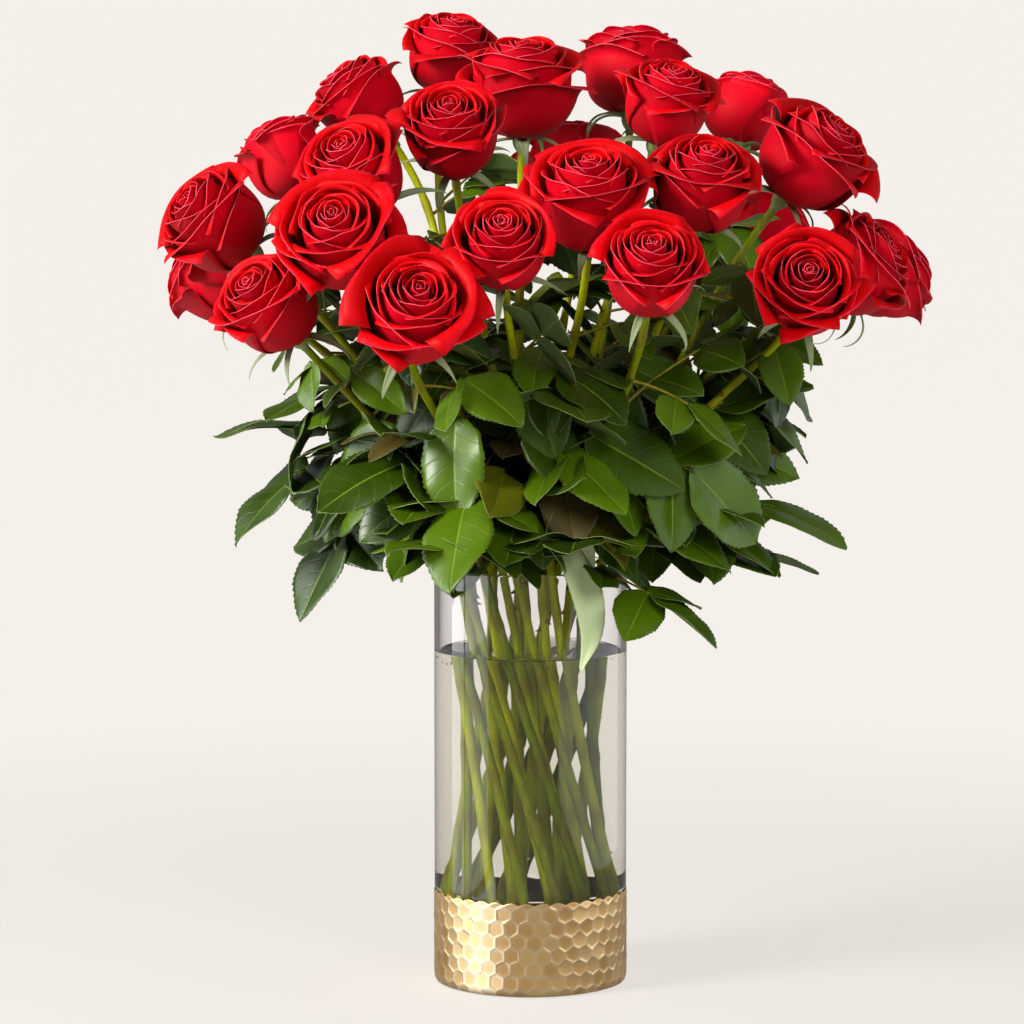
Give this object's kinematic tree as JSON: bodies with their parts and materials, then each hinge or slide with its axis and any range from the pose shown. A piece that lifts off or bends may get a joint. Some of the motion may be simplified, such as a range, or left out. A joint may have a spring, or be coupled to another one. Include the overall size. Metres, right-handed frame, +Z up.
{
  "type": "roses in a vase",
  "caption": "Long-stemmed red roses with their leaves, standing in a clear cylinder vase with a hammered gold band round its foot.",
  "frame": {"origin": "centre of the vase's flat underside", "axes": "+Z up, along the vase's axis; the side of the bouquet meant to be seen faces -Y"},
  "size_m": [0.504, 0.4242, 0.6321],
  "materials": {
    "glass": "clear, polished",
    "gold": "hammered, brushed gold leaf",
    "petal": "velvety",
    "stem": "satin",
    "leaf": "waxy"
  },
  "bodies": {
    "root": {"vase_glass": "glass", "gold_band": "gold", "rose_01_bloom": "petal", "rose_01_stem": "stem", "rose_02_bloom": "petal", "rose_02_stem": "stem", "rose_03_bloom": "petal", "rose_03_stem": "stem", "rose_04_bloom": "petal", "rose_04_stem": "stem", "rose_05_bloom": "petal", "rose_05_stem": "stem", "rose_06_bloom": "petal", "rose_06_stem": "stem", "rose_07_bloom": "petal", "rose_07_stem": "stem", "rose_08_bloom": "petal", "rose_08_stem": "stem", "rose_09_bloom": "petal", "rose_09_stem": "stem", "rose_10_bloom": "petal", "rose_10_stem": "stem", "rose_11_bloom": "petal", "rose_11_stem": "stem", "rose_12_bloom": "petal", "rose_12_stem": "stem", "rose_13_bloom": "petal", "rose_13_stem": "stem", "rose_14_bloom": "petal", "rose_14_stem": "stem", "rose_15_bloom": "petal", "rose_15_stem": "stem", "rose_16_bloom": "petal", "rose_16_stem": "stem", "rose_17_bloom": "petal", "rose_17_stem": "stem", "rose_18_bloom": "petal", "rose_18_stem": "stem", "rose_19_bloom": "petal", "rose_19_stem": "stem", "rose_20_bloom": "petal", "rose_20_stem": "stem", "rose_21_bloom": "petal", "rose_21_stem": "stem", "rose_22_bloom": "petal", "rose_22_stem": "stem", "rose_23_bloom": "petal", "rose_23_stem": "stem", "rose_24_bloom": "petal", "rose_24_stem": "stem", "leaf_01": "leaf", "leaf_02": "leaf", "leaf_03": "leaf", "leaf_04": "leaf", "leaf_05": "leaf", "leaf_06": "leaf", "leaf_07": "leaf", "leaf_08": "leaf", "leaf_09": "leaf", "leaf_10": "leaf"}
  },
  "joints": []
}
